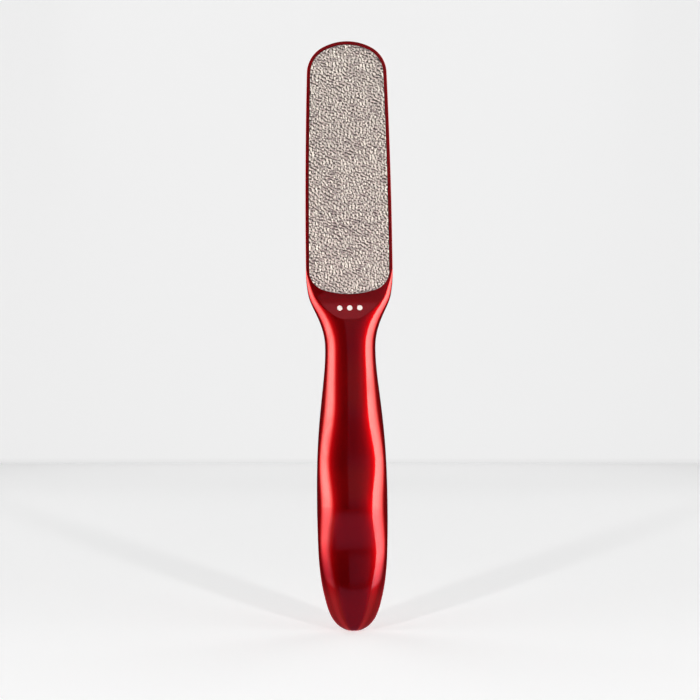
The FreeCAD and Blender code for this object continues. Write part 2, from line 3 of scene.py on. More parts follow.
import bmesh
import bpy
import numpy as np
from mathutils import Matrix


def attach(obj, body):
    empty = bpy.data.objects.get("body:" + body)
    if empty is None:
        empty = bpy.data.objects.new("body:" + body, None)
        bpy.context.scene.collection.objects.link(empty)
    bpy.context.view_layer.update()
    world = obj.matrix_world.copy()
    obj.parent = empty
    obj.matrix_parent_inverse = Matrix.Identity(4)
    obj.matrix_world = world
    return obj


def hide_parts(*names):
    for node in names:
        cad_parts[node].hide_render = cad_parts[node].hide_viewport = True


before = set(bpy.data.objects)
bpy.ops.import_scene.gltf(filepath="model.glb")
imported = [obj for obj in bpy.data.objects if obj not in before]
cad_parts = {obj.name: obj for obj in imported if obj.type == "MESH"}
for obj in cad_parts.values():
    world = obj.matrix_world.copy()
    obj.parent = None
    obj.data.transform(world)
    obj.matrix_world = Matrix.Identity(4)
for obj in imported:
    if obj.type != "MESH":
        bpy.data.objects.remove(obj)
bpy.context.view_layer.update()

# Sizes in millimetres, heights measured up from the handle's lower tip
MM = 0.001
BELLY_HEIGHT = 55.5
HEAD_BASE = 160.0
HEAD_HALF_WIDTH = 19.1
HEAD_HALF_DEPTH = 3.4
TOP_RADIUS = 22.6
CORNER_RADIUS = 13.0
SIDE_RADIUS = 2400.0
PLATE_RIM = 1.55
PLATE_GAP = 0.15
PLATE_BOTTOM = 148.7
PLATE_BOTTOM_RADIUS = 36.0
PLATE_CORNER_RADIUS = 8.7
RECESS_FLOOR = 2.8
PLATE_BACK = 3.0
PLATE_FACE = 3.7
PLATE_EDGE = 0.2
SEAM_GROOVE = 0.12
SEAM_SHARE = 0.2

# A hair under the solids' length, so that the top stays inside their box
OVERALL_LENGTH = 259.97

# Scoop that runs from the flat of the head down into the neck
SCOOP_TOP = 149.0
SCOOP_BEND = 6.0
SCOOP_SLOPE = 0.215

# Cross-sections of the handle before the scoop: height, half width, half depth, flat and side wall
STATIONS = np.array((
    (0.0, 0.0, 0.0, 0.0, 0.0),
    (0.5, 3.12, 1.9, 0.2, 0.12),
    (2.0, 6.05, 3.6, 0.45, 0.27),
    (5.5, 9.24, 5.3, 0.7, 0.42),
    (9.77, 11.2, 6.27, 0.9, 0.54),
    (14.5, 12.54, 6.75, 1.0, 0.6),
    (18.5, 13.45, 6.85, 1.0, 0.6),
    (27.0, 14.73, 6.4, 1.0, 0.6),
    (36.0, 15.32, 5.9, 1.0, 0.6),
    (46.0, 15.55, 7.0, 1.0, 0.6),
    (55.5, 15.6, 8.1, 1.0, 0.6),
    (66.0, 15.5, 6.9, 1.0, 0.6),
    (76.0, 15.2, 5.9, 1.0, 0.6),
    (85.5, 14.65, 6.65, 1.0, 0.6),
    (95.0, 13.8, 7.5, 1.0, 0.6),
    (104.5, 12.75, 6.9, 0.95, 0.6),
    (114.0, 11.68, 5.85, 0.9, 0.6),
    (124.0, 11.1, 5.4, 0.9, 0.6),
    (128.5, 11.3, 5.38, 1.05, 0.62),
    (133.0, 12.2, 5.32, 1.4, 0.68),
    (137.5, 13.75, 5.2, 2.2, 0.82),
    (142.0, 15.8, 4.9, 3.8, 1.1),
    (146.5, 17.7, 4.45, 6.2, 1.5),
    (151.0, 18.6, 3.98, 11.2, 2.05),
    (155.5, 19.03, 3.65, 15.9, 2.7),
    (160.0, 19.1, 3.4, 18.9, 3.2),
))


def spline(knots, values, start_slope=None, end_slope=None):
    """Function of a cubic spline; an end with no slope given is left free."""
    count, steps = len(knots), np.diff(knots)
    rises = np.diff(values) / steps
    matrix, right = np.eye(count), np.zeros(count)
    for i in range(1, count - 1):
        matrix[i, i - 1:i + 2] = steps[i - 1], 2 * (steps[i - 1] + steps[i]), steps[i]
        right[i] = 6 * (rises[i] - rises[i - 1])
    if start_slope is not None:
        matrix[0, :2] = 2 * steps[0], steps[0]
        right[0] = 6 * (rises[0] - start_slope)
    if end_slope is not None:
        matrix[-1, -2:] = steps[-1], 2 * steps[-1]
        right[-1] = 6 * (end_slope - rises[-1])
    bends = np.linalg.solve(matrix, right)

    def evaluate(places):
        i = np.clip(np.searchsorted(knots, places) - 1, 0, count - 2)
        step = steps[i]
        low, high = (knots[i + 1] - places) / step, (places - knots[i]) / step
        curve = (low**3 - low) * bends[i] + (high**3 - high) * bends[i + 1]
        return low * values[i] + high * values[i + 1] + curve * step**2 / 6

    return evaluate


# Distances along the outline from the tip: rows are closer together round the nose
NOSE_START = 0.3
NOSE_STEP = 0.35
NOSE_END = 14.0
BODY_ROWS = 330


def handle_rows():
    """Dense cross-sections from just above the tip to the base of the head."""
    height, width, depth, flat, land = STATIONS.T
    along = np.concatenate(([0], np.cumsum(np.hypot(np.diff(width), np.diff(height)))))
    nose = np.arange(NOSE_START, NOSE_END, NOSE_STEP)
    body = np.linspace(NOSE_END, along[-1], BODY_ROWS)
    places = np.concatenate((nose, body))
    return np.stack((
        spline(along, height, 0, 1)(places),
        spline(along, width, 1, 0)(places),
        spline(along, depth, None, 0)(places),
        spline(along, flat, None, 0)(places),
        spline(along, land, None, 0)(places),
    ), axis=1)


ROWS = handle_rows()


def crown_depth(height):
    """Distance of the crown from the parting plane at a height, with the scoop taken off."""
    fall = SCOOP_TOP - np.asarray(height)
    bend = np.clip(fall, 0, SCOOP_BEND)
    rise = bend**2 / (2 * SCOOP_BEND) + np.maximum(fall - SCOOP_BEND, 0)
    scoop = HEAD_HALF_DEPTH + SCOOP_SLOPE * rise
    return np.minimum(np.interp(height, ROWS[:, 0], ROWS[:, 2]), scoop)


# Points on the bend from the side wall to the crown
BEND_POINTS = 29


def profile(height, half_width, half_depth, flat, land):
    """Inset from the outline and distance from the parting plane, from the seam to the crown."""
    groove = min(SEAM_GROOVE, SEAM_SHARE * land)
    walls = [(groove, 0.0), (0.0, groove), (0.0, (groove + land) / 2)]
    span, rise = half_width - flat, half_depth - land
    end = math.asin(min((crown_depth(height) - land) / rise, 1))
    turn = np.linspace(0, end, BEND_POINTS)
    bend = np.stack((span * (1 - np.cos(turn)), land + rise * np.sin(turn)), axis=1)
    return np.concatenate((walls, bend))


def tangent_centre(first, first_radius, second, second_radius, upper):
    """Point at given distances from two centres, the upper or the lower one."""
    first, second = np.array(first), np.array(second)
    span = second - first
    length = np.hypot(*span)
    along = (first_radius**2 - second_radius**2 + length**2) / (2 * length)
    across = math.sqrt(first_radius**2 - along**2)
    foot = first + span / length * along
    normal = np.array((-span[1], span[0])) / length * across
    return max(foot + normal, foot - normal, key=lambda p: p[1] if upper else -p[1])


TOP_CENTRE = (0.0, OVERALL_LENGTH - TOP_RADIUS)
SIDE_CENTRE = (HEAD_HALF_WIDTH - SIDE_RADIUS, HEAD_BASE)
CORNER_CENTRE = tangent_centre(
    TOP_CENTRE, TOP_RADIUS - CORNER_RADIUS, SIDE_CENTRE, SIDE_RADIUS - CORNER_RADIUS, True)
FOOT_CENTRE = (0.0, PLATE_BOTTOM + PLATE_BOTTOM_RADIUS)
FOOT_CORNER = tangent_centre(
    FOOT_CENTRE, PLATE_BOTTOM_RADIUS - PLATE_CORNER_RADIUS,
    SIDE_CENTRE, SIDE_RADIUS - PLATE_RIM - PLATE_CORNER_RADIUS, False)


def angle_to(start, end):
    """Direction from one point to another, in radians."""
    return math.atan2(end[1] - start[1], end[0] - start[0])


def arc(centre, radius, start, end, count):
    """Points on an arc, the last left out."""
    turn = np.linspace(start, end, count, endpoint=False)
    return np.stack((centre[0] + radius * np.cos(turn), centre[1] + radius * np.sin(turn)), axis=1)


SIDE_END = angle_to(SIDE_CENTRE, CORNER_CENTRE)
CORNER_END = angle_to(TOP_CENTRE, CORNER_CENTRE)
SIDE_FOOT = angle_to(SIDE_CENTRE, FOOT_CORNER)
FOOT_END = angle_to(FOOT_CENTRE, FOOT_CORNER)

# Points on the arcs of the head's outline and of the plate's lower outline
SIDE_POINTS, CORNER_POINTS, TOP_POINTS = 90, 40, 16
FOOT_POINTS, FOOT_CORNER_POINTS, FOOT_SIDE_POINTS = 60, 60, 12


def head_half(inset):
    """Right half of the head's outline, inset all round, from its base to the middle of the top."""
    return np.concatenate((
        arc(SIDE_CENTRE, SIDE_RADIUS - inset, 0, SIDE_END, SIDE_POINTS),
        arc(CORNER_CENTRE, CORNER_RADIUS - inset, SIDE_END, CORNER_END, CORNER_POINTS),
        arc(TOP_CENTRE, TOP_RADIUS - inset, CORNER_END, math.pi / 2, TOP_POINTS),
        [(0.0, OVERALL_LENGTH - inset)],
    ))


def plate_foot(inset):
    """Right half of the plate's lower outline, from its lowest point up to the base of the head."""
    grow = PLATE_RIM - inset
    return np.concatenate((
        arc(FOOT_CENTRE, PLATE_BOTTOM_RADIUS + grow, -math.pi / 2, FOOT_END, FOOT_POINTS),
        arc(FOOT_CORNER, PLATE_CORNER_RADIUS + grow, FOOT_END, SIDE_FOOT, FOOT_CORNER_POINTS),
        arc(SIDE_CENTRE, SIDE_RADIUS - inset, SIDE_FOOT, 0, FOOT_SIDE_POINTS),
    ))


def resample(points, shares):
    """Points at given shares of a line's length."""
    lengths = np.concatenate(([0], np.cumsum(np.hypot(*np.diff(points, axis=0).T))))
    places = np.asarray(shares) * lengths[-1]
    return np.stack([np.interp(places, lengths, points[:, i]) for i in range(2)], axis=1)


class Builder:
    """Collects points and faces of one closed mesh, in millimetres from the tip."""

    def __init__(self):
        self.points, self.faces, self.sharp = [], [], set()

    def add(self, points):
        """Add points and return their numbers."""
        first = len(self.points)
        self.points.extend(map(tuple, points))
        return list(range(first, len(self.points)))

    def strip(self, first, second):
        """Quads between two rows of equal length."""
        for a, b, c, d in zip(first, first[1:], second[1:], second):
            self.faces.append((a, b, c, d))

    def fan(self, centre, row):
        """Triangles from one point to a row."""
        for a, b in zip(row, row[1:]):
            self.faces.append((centre, a, b))

    def ladder(self, start, right, left, end):
        """Flat face between two mirrored chains that meet in a point at each end."""
        self.faces.append((start, right[0], left[0]))
        self.strip(right, left)
        self.faces.append((end, left[-1], right[-1]))

    def crease(self, loop):
        """Keep a closed loop of edges sharp."""
        for a, b in zip(loop, loop[1:] + loop[:1]):
            self.sharp.add((min(a, b), max(a, b)))

    def make(self, name, material):
        """Turn what was collected into an object that rides on the root body."""
        points = np.array(self.points) - (0, 0, BELLY_HEIGHT)
        mesh = bpy.data.meshes.new(name)
        mesh.from_pydata((points * MM).tolist(), [], self.faces)
        work = bmesh.new()
        work.from_mesh(mesh)
        bmesh.ops.recalc_face_normals(work, faces=work.faces)
        for face in work.faces:
            face.smooth = True
        for edge in work.edges:
            a, b = edge.verts
            if (min(a.index, b.index), max(a.index, b.index)) in self.sharp:
                edge.smooth = False
        work.to_mesh(mesh)
        work.free()
        mesh.materials.append(material)
        item = bpy.data.objects.new(name, mesh)
        bpy.context.scene.collection.objects.link(item)
        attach(item, "root")
        return item


CROWN_COLUMNS = 24
RECESS_INSET = PLATE_RIM - PLATE_GAP
CROWN_END = 148.1

# Share of the recess's lower outline that the last row of the crown joins; the side walls join the rest
CROWN_SHARE = 0.473


def shell(name, side, material):
    """One half of the handle and head, with the recess for its plate."""
    build = Builder()
    tip = build.add([(0, 0, 0)])[0]
    right, left = [], []
    for row in ROWS:
        insets, outs = profile(*row).T
        x, z = row[1] - insets, np.full_like(insets, row[0])
        right.append(build.add(np.stack((x, side * outs, z), axis=1)))
        left.append(build.add(np.stack((-x, side * outs, z), axis=1)))
    # the rim keeps the last section's shape all round the head
    insets, outs = profile(*ROWS[-1]).T
    rings = [head_half(inset) for inset in insets]
    for place in range(1, len(rings[0])):
        x, z = np.array([ring[place] for ring in rings]).T
        right.append(build.add(np.stack((x, side * outs, z), axis=1)))
        if place < len(rings[0]) - 1:
            left.append(build.add(np.stack((-x, side * outs, z), axis=1)))
    columns = right + left[::-1]
    for first, second in zip(columns, columns[1:]):
        build.strip(first, second)
    build.fan(tip, columns[0])
    build.fan(tip, columns[-1])
    seam_right, seam_left = [c[0] for c in right[:-1]], [c[0] for c in left]
    build.ladder(tip, seam_right, seam_left, right[-1][0])
    build.crease([tip] + [c[0] for c in columns])
    build.crease([tip] + [c[1] for c in columns])

    # crown of the handle, up to just below the recess
    last = int(np.searchsorted(ROWS[:, 0], CROWN_END)) - 1
    across = np.linspace(1, -1, CROWN_COLUMNS + 1)[1:-1]
    crown = []
    for row in range(last + 1):
        edge_x, edge_y, edge_z = build.points[right[row][-1]]
        middle = build.add([(edge_x * x, edge_y, edge_z) for x in across])
        crown.append([right[row][-1], *middle, left[row][-1]])
    for first, second in zip(crown, crown[1:]):
        build.strip(first, second)
    build.fan(tip, crown[0])

    # rim of the recess, its wall and its floor
    foot = plate_foot(RECESS_INSET)
    half = CROWN_COLUMNS // 2
    bottom = resample(foot, np.linspace(0, CROWN_SHARE, half + 1))
    climb = len(ROWS) - last
    corner = resample(foot, np.linspace(CROWN_SHARE, 1, climb))
    half_loop = np.concatenate((bottom, corner[1:-1], head_half(RECESS_INSET)))
    top = len(half_loop) - 1
    loop = np.concatenate((half_loop, half_loop[1:-1][::-1] * (-1, 1)))
    outer_right = crown[-1][:half + 1][::-1] + [c[-1] for c in right[last + 1:]]
    outer_left = crown[-1][half:] + [c[-1] for c in left[last + 1:]]
    outer = outer_right + outer_left[1:][::-1]
    x, z = loop.T
    lip = build.add(np.stack((x, side * crown_depth(z), z), axis=1))
    base = build.add(np.stack((x, np.full_like(x, side * RECESS_FLOOR), z), axis=1))
    for first, second in ((outer, lip), (lip, base)):
        build.strip(first + first[:1], second + second[:1])
    build.ladder(base[0], base[1:top], base[:top:-1], base[top])
    build.crease(lip)
    build.crease(base)
    return build.make(name, material)


# Waves that add up to the grain: their number, main direction, spread of directions and range of lengths
WAVES = 90
WAVE_LEAN = math.radians(35)
WAVE_SPREAD = 0.72
WAVE_RANGE = (0.68, 1.42)

# How steep the ridges are, and how much more of the plate is ridge than valley
RIDGE_SLOPE = 1.5
RIDGE_EXCESS = 0.1


def grain(x, z, seed, spacing):
    """Random short ridges of a given spacing that mostly lean one way, from 0 to 1."""
    draw = np.random.default_rng(seed)
    total = np.zeros_like(x)
    for _ in range(WAVES):
        turn = WAVE_LEAN + draw.normal(0, WAVE_SPREAD)
        reach = 2 * math.pi / (spacing * draw.uniform(*WAVE_RANGE))
        phase = draw.uniform(0, 2 * math.pi)
        total += np.cos(reach * (x * math.cos(turn) + z * math.sin(turn)) + phase)
    total /= math.sqrt(WAVES / 2)
    return 0.5 + 0.5 * np.tanh(RIDGE_SLOPE * total + RIDGE_EXCESS)


# Mesh of a plate: columns, most rise and spread between rows, points on its outline and on its border
PLATE_COLUMNS = 150
ROW_RISE = 0.205
ROW_SPREAD = 0.8
OUTLINE_POINTS = 20000
BORDER_STRIDE = 25

# Distance from the border over which the edge is rounded and the grain fades in
EDGE_FADE = 0.25


def plate(name, side, material, seed, spacing, relief):
    """Abrasive plate whose face is covered in raised grain."""
    half = np.concatenate((plate_foot(PLATE_RIM)[:-1], head_half(PLATE_RIM)))
    fine = resample(half, np.linspace(0, 1, OUTLINE_POINTS))
    spreads, rises = np.abs(np.diff(fine, axis=0)).T
    steps = np.maximum(rises / ROW_RISE, spreads / ROW_SPREAD)
    measure = np.concatenate(([0], np.cumsum(steps)))
    rows = int(measure[-1])
    places = np.linspace(0, measure[-1], rows + 1)
    edge = np.stack([np.interp(places, measure, fine[:, i]) for i in range(2)], axis=1)
    border = fine[::BORDER_STRIDE]
    border = np.concatenate((border, border * (-1, 1)))
    build = Builder()
    shares = np.linspace(1, -1, PLATE_COLUMNS + 1)
    first = build.add([(0, side * (PLATE_FACE - PLATE_EDGE), edge[0, 1])])[0]
    grid = []
    for half_width, height in edge[1:-1]:
        x = half_width * shares
        z = np.full_like(x, height)
        gaps = np.min(np.hypot(x[:, None] - border[:, 0], z[:, None] - border[:, 1]), axis=1)
        gaps[0] = gaps[-1] = 0
        fade = np.clip(gaps / EDGE_FADE, 0, 1)
        rounding = PLATE_EDGE * (1 - fade)**2
        cut = relief * (1 - grain(x, z, seed, spacing)) * fade
        grid.append(build.add(np.stack((x, side * (PLATE_FACE - rounding - cut), z), axis=1)))
    last = build.add([(0, side * (PLATE_FACE - PLATE_EDGE), edge[-1, 1])])[0]
    for low, high in zip(grid, grid[1:]):
        build.strip(low, high)
    build.fan(first, grid[0])
    build.fan(last, grid[-1])
    rim = [first] + [row[0] for row in grid] + [last] + [row[-1] for row in reversed(grid)]
    back = build.add([(build.points[i][0], side * PLATE_BACK, build.points[i][2]) for i in rim])
    build.strip(rim + rim[:1], back + back[:1])
    top = len(grid) + 1
    build.ladder(back[0], back[1:top], back[:top:-1], back[top])
    build.crease(rim)
    build.crease(back)
    return build.make(name, material)


MARK_HEIGHT = 142.6
MARK_RADIUS = 1.15
MARK_PITCH = 4.4
MARK_RISE = 0.04
MARK_SINK = 0.06
MARK_POINTS = 40

# Rings of a dot from its middle outwards: share of the radius, and height above the lacquer
MARK_RINGS = ((0.5, MARK_RISE), (0.92, MARK_RISE), (1, MARK_RISE / 3), (1, -MARK_SINK))


def grit_mark(name, side, material, count):
    """Row of printed dots on the flat below a plate."""
    build = Builder()
    turn = np.linspace(0, 2 * math.pi, MARK_POINTS, endpoint=False)
    for dot in range(count):
        middle = (dot - (count - 1) / 2) * MARK_PITCH
        loops = []
        for share, rise in MARK_RINGS:
            x = middle + MARK_RADIUS * share * np.cos(turn)
            z = MARK_HEIGHT + MARK_RADIUS * share * np.sin(turn)
            loops.append(build.add(np.stack((x, side * (crown_depth(z) + rise), z), axis=1)))
        for inner, outer in zip(loops, loops[1:]):
            build.strip(inner + inner[:1], outer + outer[:1])
        for loop, rise in ((loops[0], MARK_RISE), (loops[-1], -MARK_SINK)):
            centre = build.add([(middle, side * (crown_depth(MARK_HEIGHT) + rise), MARK_HEIGHT)])[0]
            build.fan(centre, loop + loop[:1])
        build.crease(loops[-1])
    return build.make(name, material)


# Sockets of a node that mixes colours
MIX_SHARE, MIX_FIRST, MIX_SECOND = 0, 6, 7
MIX_COLOUR = 2


class Nodes:
    """Short way to lay out the nodes of one material."""

    def __init__(self, name):
        self.material = bpy.data.materials.new(name)
        self.material.use_nodes = True
        self.tree = self.material.node_tree
        self.tree.nodes.clear()

    def connect(self, socket, given):
        """Give a socket a value or another node's output."""
        if isinstance(given, bpy.types.NodeSocket):
            self.tree.links.new(given, socket)
        else:
            socket.default_value = given

    def node(self, kind, settings=None, **inputs):
        """Add a node; an input is named, or numbered after an underscore."""
        made = self.tree.nodes.new(kind)
        for key, setting in (settings or {}).items():
            setattr(made, key, setting)
        for key, given in inputs.items():
            socket = made.inputs[int(key[1:]) if key[0] == "_" else key.replace("_", " ")]
            self.connect(socket, given)
        return made

    def place(self):
        """Coordinates fixed to the object, in metres."""
        return self.node("ShaderNodeTexCoord").outputs["Object"]

    def noise(self, place, scale, detail):
        """Random pattern between 0 and 1."""
        made = self.node("ShaderNodeTexNoise", Vector=place, Scale=scale, Detail=detail)
        return made.outputs["Fac"]

    def span(self, source, low, high, to_low, to_high, kind="LINEAR"):
        """Map one range of numbers to another."""
        made = self.node(
            "ShaderNodeMapRange", {"interpolation_type": kind},
            _0=source, _1=low, _2=high, _3=to_low, _4=to_high)
        return made.outputs["Result"]

    def ease(self, source, reach, first, last):
        """Smooth change from one number to another over a range."""
        return self.span(source, *reach, first, last, "SMOOTHSTEP")

    def math(self, kind, first, second):
        """Sum, product or other operation on two numbers."""
        return self.node("ShaderNodeMath", {"operation": kind}, _0=first, _1=second).outputs[0]

    def mix(self, share, first, second):
        """Colour between two colours."""
        made = self.node("ShaderNodeMix", {"data_type": "RGBA"})
        for index, given in ((MIX_SHARE, share), (MIX_FIRST, first), (MIX_SECOND, second)):
            self.connect(made.inputs[index], given)
        return made.outputs[MIX_COLOUR]

    def bump(self, height, distance, strength):
        """Fine relief that is too small for geometry."""
        made = self.node("ShaderNodeBump", Height=height, Distance=distance, Strength=strength)
        return made.outputs["Normal"]

    def finish(self, shader):
        """Send a shader to the material's surface."""
        self.node("ShaderNodeOutputMaterial", Surface=shader.outputs[0])
        return self.material


# Ranges that hold most values of a noise pattern, from the narrowest
NARROW, MIDDLE, WIDE = (0.35, 0.65), (0.3, 0.7), (0.25, 0.75)

# Lacquer: pattern scales, relief in metres, colours, and the range of its roughness
FLAKE_SCALE, FLAKE_RELIEF, FLAKE_STRENGTH = 5200.0, 0.00002, 0.25
DARK_FLAKE, LIGHT_FLAKE = (0.44, 0.002, 0.004, 1), (0.6, 0.004, 0.008, 1)
CLOUD_SCALE, CLOUD_SHARE, CLOUD_RED = 60.0, 0.25, (0.5, 0.003, 0.006, 1)
LACQUER_ROUGHNESS = (0.33, 0.36)


def red_lacquer():
    """Deep red metallic lacquer: fine flake under a smooth clear coat."""
    nodes = Nodes("red_lacquer")
    place = nodes.place()
    flake = nodes.noise(place, FLAKE_SCALE, detail=1.0)
    cloud = nodes.noise(place, CLOUD_SCALE, detail=3.0)
    shade = nodes.mix(nodes.span(flake, *MIDDLE, 0.0, 1.0), DARK_FLAKE, LIGHT_FLAKE)
    colour = nodes.mix(nodes.span(cloud, *MIDDLE, 0.0, CLOUD_SHARE), shade, CLOUD_RED)
    rough = nodes.span(cloud, *WIDE, *LACQUER_ROUGHNESS)
    shader = nodes.node(
        "ShaderNodeBsdfPrincipled", Base_Color=colour, Metallic=1.0, Roughness=rough,
        Normal=nodes.bump(flake, FLAKE_RELIEF, FLAKE_STRENGTH),
        Coat_Weight=1.0, Coat_Roughness=0.03, Coat_IOR=1.6)
    return nodes.finish(shader)


# Nickel: colours with painted shade in the valleys and painted light on the ridges, pattern scales, relief
# in metres, and ranges of roughness
VALLEY_SHADE, RIDGE_LIGHT = (0.073, 0.07, 0.063, 1), (0.985, 0.985, 0.955, 1)
PATCH_SCALE, PATCH_SHARE, PATCH_COLOUR = 55.0, 0.08, (0.6, 0.565, 0.53, 1)
GRIT_SCALE, GRIT_ROUGHNESS = 950.0, (0.36, 0.56)
SPECK_SCALE, SPECK_ROUGHNESS = 3800.0, (0.0, 0.06)
SPECK_RELIEF, SPECK_STRENGTH = 0.00005, 0.5


def nickel(name, side, relief):
    """Warm nickel with painted shade down between the grains and painted light on their tops, and roughness
    that varies at random.
    """
    nodes = Nodes(name)
    place = nodes.place()
    out = nodes.node("ShaderNodeSeparateXYZ", Vector=place).outputs["Y"]
    lift = nodes.span(out, side * (PLATE_FACE - relief) * MM, side * PLATE_FACE * MM, 0.0, 1.0)
    patch = nodes.noise(place, PATCH_SCALE, detail=3.0)
    # painted shade in the valleys and painted light on the ridges, set by the height of the grain
    colour = nodes.mix(lift, VALLEY_SHADE, RIDGE_LIGHT)
    colour = nodes.mix(nodes.span(patch, *MIDDLE, 0.0, PATCH_SHARE), colour, PATCH_COLOUR)
    speck = nodes.noise(place, SPECK_SCALE, detail=2.0)
    grit = nodes.noise(place, GRIT_SCALE, detail=0.0)
    rough = nodes.math(
        "ADD", nodes.span(grit, *NARROW, *GRIT_ROUGHNESS), nodes.span(speck, *WIDE, *SPECK_ROUGHNESS))
    shader = nodes.node(
        "ShaderNodeBsdfPrincipled", Base_Color=colour, Metallic=1.0, Roughness=rough,
        Normal=nodes.bump(speck, SPECK_RELIEF, SPECK_STRENGTH))
    return nodes.finish(shader)


# Bonding film: colours, pattern scale, relief in metres, and range of roughness
FILM_DARK, FILM_PALE = (0.72, 0.7, 0.64, 1), (0.86, 0.85, 0.81, 1)
MOTTLE_SCALE, MOTTLE_RELIEF, MOTTLE_STRENGTH = 900.0, 0.00003, 0.5
FILM_ROUGHNESS = (0.45, 0.65)


def bonding_film():
    """Milky adhesive film with a mottled backing."""
    nodes = Nodes("bonding_film")
    place = nodes.place()
    mottle = nodes.noise(place, MOTTLE_SCALE, detail=4.0)
    colour = nodes.mix(mottle, FILM_DARK, FILM_PALE)
    rough = nodes.span(mottle, *MIDDLE, *FILM_ROUGHNESS)
    shader = nodes.node(
        "ShaderNodeBsdfPrincipled", Base_Color=colour, Roughness=rough,
        Normal=nodes.bump(mottle, MOTTLE_RELIEF, MOTTLE_STRENGTH))
    return nodes.finish(shader)


# Ink: colours, pattern scale and range of roughness
INK_THIN, INK_FULL = (0.72, 0.6, 0.56, 1), (0.86, 0.77, 0.73, 1)
INK_SCALE, INK_ROUGHNESS = 2600.0, (0.35, 0.5)


def mark_ink():
    """Off-white printing ink with slightly uneven cover."""
    nodes = Nodes("mark_ink")
    place = nodes.place()
    cover = nodes.noise(place, INK_SCALE, detail=3.0)
    colour = nodes.mix(cover, INK_THIN, INK_FULL)
    rough = nodes.span(cover, *MIDDLE, *INK_ROUGHNESS)
    shader = nodes.node("ShaderNodeBsdfPrincipled", Base_Color=colour, Roughness=rough)
    return nodes.finish(shader)


FRONT, BACK = -1, 1
lacquer = red_lacquer()
front_shell = shell("front_handle_shell", FRONT, lacquer)
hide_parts("front_shell")
back_shell = shell("back_handle_shell", BACK, lacquer)
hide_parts("back_shell")

# Grain of each plate: seed of its random draws, spacing and relief in millimetres
COARSE_SEED, COARSE_SPACING, COARSE_RELIEF = 11, 1.22, 0.24
FINE_SEED, FINE_SPACING, FINE_RELIEF = 23, 0.95, 0.15

coarse_nickel = nickel("coarse_nickel", FRONT, COARSE_RELIEF)
coarse_grain = plate(
    "coarse_grain_plate", FRONT, coarse_nickel, COARSE_SEED, COARSE_SPACING, COARSE_RELIEF)
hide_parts("coarse_plate")
fine_nickel = nickel("fine_nickel", BACK, FINE_RELIEF)
fine_grain = plate("fine_grain_plate", BACK, fine_nickel, FINE_SEED, FINE_SPACING, FINE_RELIEF)
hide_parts("fine_plate")

film = bonding_film()
for node in ("coarse_plate_adhesive", "fine_plate_adhesive"):
    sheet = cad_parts[node]
    sheet.data.materials.clear()
    sheet.data.materials.append(film)

# Dots of the grit marks
COARSE_DOTS, FINE_DOTS = 3, 1
ink = mark_ink()
grit_mark("coarse_grit_mark", FRONT, ink, COARSE_DOTS)
grit_mark("fine_grit_mark", BACK, ink, FINE_DOTS)


# Camera level with the upper grip, in metres, and turned a little about its own axis
CAMERA_DISTANCE = 0.8587
CAMERA_HEIGHT = 0.0686
CAMERA_ACROSS = -0.00013
LEAN = math.radians(0.744)
FOCAL_LENGTH, SENSOR_WIDTH = 100.0, 36.0
CLIP_START, CLIP_END = 0.01, 50.0
lens = bpy.data.cameras.new("camera")
lens.lens, lens.sensor_width = FOCAL_LENGTH, SENSOR_WIDTH
lens.clip_start, lens.clip_end = CLIP_START, CLIP_END
camera = bpy.data.objects.new("camera", lens)
camera.location = (CAMERA_ACROSS, -CAMERA_DISTANCE, CAMERA_HEIGHT)
camera.rotation_euler = (math.pi / 2, LEAN, 0)
bpy.context.scene.collection.objects.link(camera)
bpy.context.scene.camera = camera


def stage_piece(name, corners, faces, material):
    """Piece of the studio, set round the tip and level in the picture."""
    mesh = bpy.data.meshes.new(name)
    mesh.from_pydata(corners, [], faces)
    mesh.materials.append(material)
    item = bpy.data.objects.new(name, mesh)
    item.location = (0, 0, -BELLY_HEIGHT * MM)
    item.rotation_euler = (0, LEAN, 0)
    bpy.context.scene.collection.objects.link(item)
    return item


# Studio in metres from the tip: how far it reaches, its height and the wall behind the object
REACH, TALL, WALL = 3.0, 2.0, 1.27
LEFT_FRONT, RIGHT_FRONT = (-REACH, -REACH), (REACH, -REACH)
LEFT_BACK, RIGHT_BACK = (-REACH, WALL), (REACH, WALL)
QUAD = [(0, 1, 2, 3)]
WHITE = (1, 1, 1, 1)

# Glow and darkness of the floor and walls far from the object, and where they begin
PALE, MATT = 0.82, (0.08, 0.08, 0.08, 1)
SIDE_FADE, FRONT_FADE = (0.45, 0.75), (-0.7, -0.4)

# Near the object: glow from the front to the wall, and where the corner of floor and wall is softened by
# painted light on the floor and painted shade at the foot of the wall
GLOW_REACH = (-0.4, WALL)
LIFT_FADE, FOOT_FADE = (0.93, 1.2), (0.0, 0.006)
FLOOR_GLOW, FLOOR_GREY, FLOOR_LIFT, FLOOR_SHADE = (0.42, 0.47), (0.8, 0.8, 0.8, 1), 0.115, 1.0
WALL_GLOW, WALL_GREY, WALL_LIFT, WALL_SHADE = (0.745, 0.745), (0.2, 0.2, 0.2, 1), 0.0, 0.89


